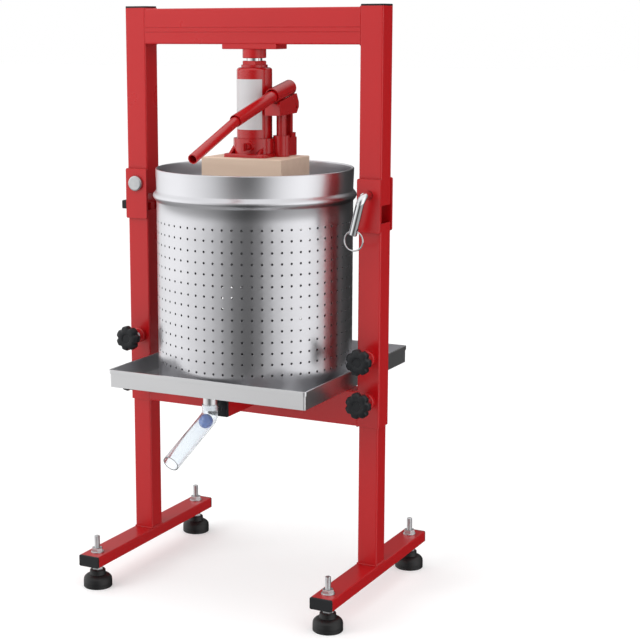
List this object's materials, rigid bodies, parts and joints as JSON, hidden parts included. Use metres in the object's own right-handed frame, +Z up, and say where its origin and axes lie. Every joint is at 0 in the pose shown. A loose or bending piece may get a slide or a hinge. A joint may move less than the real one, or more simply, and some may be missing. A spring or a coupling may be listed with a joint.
{
  "type": "hydraulic cider press",
  "caption": "Free-standing fruit press: tube frame with a swinging top, perforated drum in a drip tray, wood block and hydraulic bottle jack.",
  "frame": {"origin": "on the floor, under the middle of the press's outline seen from above", "axes": "+X to the right when facing the drain hose, +Y to the back, +Z up"},
  "size_m": [0.513, 0.5276, 1.001],
  "materials": {
    "red_paint": "glossy powder coat",
    "jack_paint": "gloss paint on a cast body",
    "stainless": "polished stainless sheet",
    "tray_steel": "satin stainless sheet",
    "zinc": "bright zinc plate",
    "chrome": "polished chrome plate",
    "black_plastic": "fine moulded grain",
    "black_rubber": "matt rubber",
    "wood": "planed beech",
    "clear_hose": "clear flexible PVC",
    "blue_plastic": "smooth plastic"
  },
  "bodies": {
    "lower_frame": {"left_sleeve": "red_paint", "right_sleeve": "red_paint", "cross_rail": "red_paint", "tray_bearer": "red_paint", "bearer_cap_front": "black_plastic", "bearer_cap_back": "black_plastic", "left_plate_front": "red_paint", "left_plate_back": "red_paint", "right_plate_front": "red_paint", "right_plate_back": "red_paint", "stop_bar": "red_paint", "stop_bar_cap": "black_plastic", "hinge_bolt": "zinc", "hinge_nut": "zinc"},
    "top_frame": {"left_post": "red_paint", "right_post": "red_paint", "top_beam": "red_paint", "head_plate": "red_paint", "ram_cup": "red_paint", "left_post_cap": "black_plastic", "right_post_cap": "black_plastic"},
    "lock_pin_unit": {"locking_pin": "chrome"},
    "ring_unit": {"pin_ring": "chrome"},
    "left_leg_unit": {"left_leg": "red_paint", "left_foot_bar": "red_paint", "left_bar_cap_front": "black_plastic", "left_bar_cap_back": "black_plastic"},
    "right_leg_unit": {"right_leg": "red_paint", "right_foot_bar": "red_paint", "right_bar_cap_front": "black_plastic", "right_bar_cap_back": "black_plastic"},
    "tray_unit": {"drip_tray": "tray_steel", "drain_hose": "clear_hose", "stopper_ball": "blue_plastic", "drum": "stainless"},
    "press_stack": {"press_plate": "stainless", "wood_block": "wood", "jack_base": "jack_paint", "jack_reservoir": "jack_paint", "jack_top_nut": "jack_paint", "pump_link": "jack_paint"},
    "ram_unit": {"jack_ram": "chrome"},
    "handle_unit": {"handle_socket": "jack_paint", "handle_tube": "jack_paint"},
    "grip_unit": {"handle_grip": "jack_paint"},
    "plunger_unit": {"pump_plunger": "jack_paint"},
    "valve_unit": {"release_valve": "jack_paint"},
    "left_front_foot": {"left_front_pad": "black_rubber", "left_front_stud": "zinc"},
    "left_back_foot": {"left_back_pad": "black_rubber", "left_back_stud": "zinc"},
    "left_upper_clamp": {"left_upper_knob": "black_plastic"},
    "left_lower_clamp": {"left_lower_knob": "black_plastic"},
    "right_front_foot": {"right_front_pad": "black_rubber", "right_front_stud": "zinc"},
    "right_back_foot": {"right_back_pad": "black_rubber", "right_back_stud": "zinc"},
    "right_upper_clamp": {"right_upper_knob": "black_plastic"},
    "right_lower_clamp": {"right_lower_knob": "black_plastic"}
  },
  "joints": [
    {"name": "frame_swing", "type": "hinge", "parent": "lower_frame", "child": "top_frame", "pos_m": [-0.2145, 0.02623, 0.695], "axis": [0, -1, 0], "range_deg": [0, 106]},
    {"name": "lock_pin_pull", "type": "slide", "parent": "lower_frame", "child": "lock_pin_unit", "axis": [0, -1, 0], "range_m": [0, 0.075]},
    {"name": "ring_swing", "type": "hinge", "parent": "lock_pin_unit", "child": "ring_unit", "pos_m": [0.21744, -0.02577, 0.63876], "axis": [1, 0, 0], "range_deg": [-70, 35]},
    {"name": "left_leg_slide", "type": "slide", "parent": "lower_frame", "child": "left_leg_unit", "axis": [0, 0, 1], "range_m": [0, 0.2]},
    {"name": "right_leg_slide", "type": "slide", "parent": "lower_frame", "child": "right_leg_unit", "axis": [0, 0, 1], "range_m": [0, 0.2]},
    {"name": "left_front_foot_screw", "type": "slide", "parent": "left_leg_unit", "child": "left_front_foot", "axis": [0, 0, -1], "range_m": [-0.005, 0.02]},
    {"name": "left_back_foot_screw", "type": "slide", "parent": "left_leg_unit", "child": "left_back_foot", "axis": [0, 0, -1], "range_m": [-0.005, 0.02]},
    {"name": "right_front_foot_screw", "type": "slide", "parent": "right_leg_unit", "child": "right_front_foot", "axis": [0, 0, -1], "range_m": [-0.005, 0.02]},
    {"name": "right_back_foot_screw", "type": "slide", "parent": "right_leg_unit", "child": "right_back_foot", "axis": [0, 0, -1], "range_m": [-0.005, 0.02]},
    {"name": "tray_slide", "type": "slide", "parent": "lower_frame", "child": "tray_unit", "axis": [0, -1, 0], "range_m": [0, 0.25]},
    {"name": "press_down", "type": "slide", "parent": "tray_unit", "child": "press_stack", "axis": [0, 0, -1], "range_m": [0, 0.07]},
    {"name": "ram_extend", "type": "slide", "parent": "press_stack", "child": "ram_unit", "axis": [0, 0, 1], "range_m": [0, 0.07]},
    {"name": "handle_pump", "type": "hinge", "parent": "press_stack", "child": "handle_unit", "pos_m": [0.0535, 0.06823, 0.833], "axis": [-1, 0, 0], "range_deg": [0, 35]},
    {"name": "plunger_lift", "type": "slide", "parent": "press_stack", "child": "plunger_unit", "axis": [0, 0, 1], "range_m": [0, 0.0184]},
    {"name": "grip_pull", "type": "slide", "parent": "handle_unit", "child": "grip_unit", "axis": [0, -0.9403, -0.3404], "range_m": [0, 0.015]},
    {"name": "valve_turn", "type": "hinge", "parent": "press_stack", "child": "valve_unit", "pos_m": [0.0165, 0.02623, 0.768], "axis": [0, -1, 0], "range_deg": [0, 360]},
    {"name": "left_upper_clamp_turn", "type": "hinge", "parent": "lower_frame", "child": "left_upper_clamp", "pos_m": [-0.2145, 0.02623, 0.423], "axis": [0, -1, 0], "continuous": true},
    {"name": "left_lower_clamp_turn", "type": "hinge", "parent": "lower_frame", "child": "left_lower_clamp", "pos_m": [-0.2145, 0.02623, 0.35], "axis": [0, -1, 0], "continuous": true},
    {"name": "right_upper_clamp_turn", "type": "hinge", "parent": "lower_frame", "child": "right_upper_clamp", "pos_m": [0.2315, 0.02623, 0.423], "axis": [0, -1, 0], "continuous": true},
    {"name": "right_lower_clamp_turn", "type": "hinge", "parent": "lower_frame", "child": "right_lower_clamp", "pos_m": [0.2315, 0.02623, 0.35], "axis": [0, -1, 0], "continuous": true}
  ],
  "couplings": [
    {"joint": "right_leg_slide", "follows": "left_leg_slide", "ratio": 1},
    {"joint": "ram_extend", "follows": "press_down", "ratio": 1},
    {"joint": "plunger_lift", "follows": "handle_pump", "m_per_rad": 0.03}
  ]
}
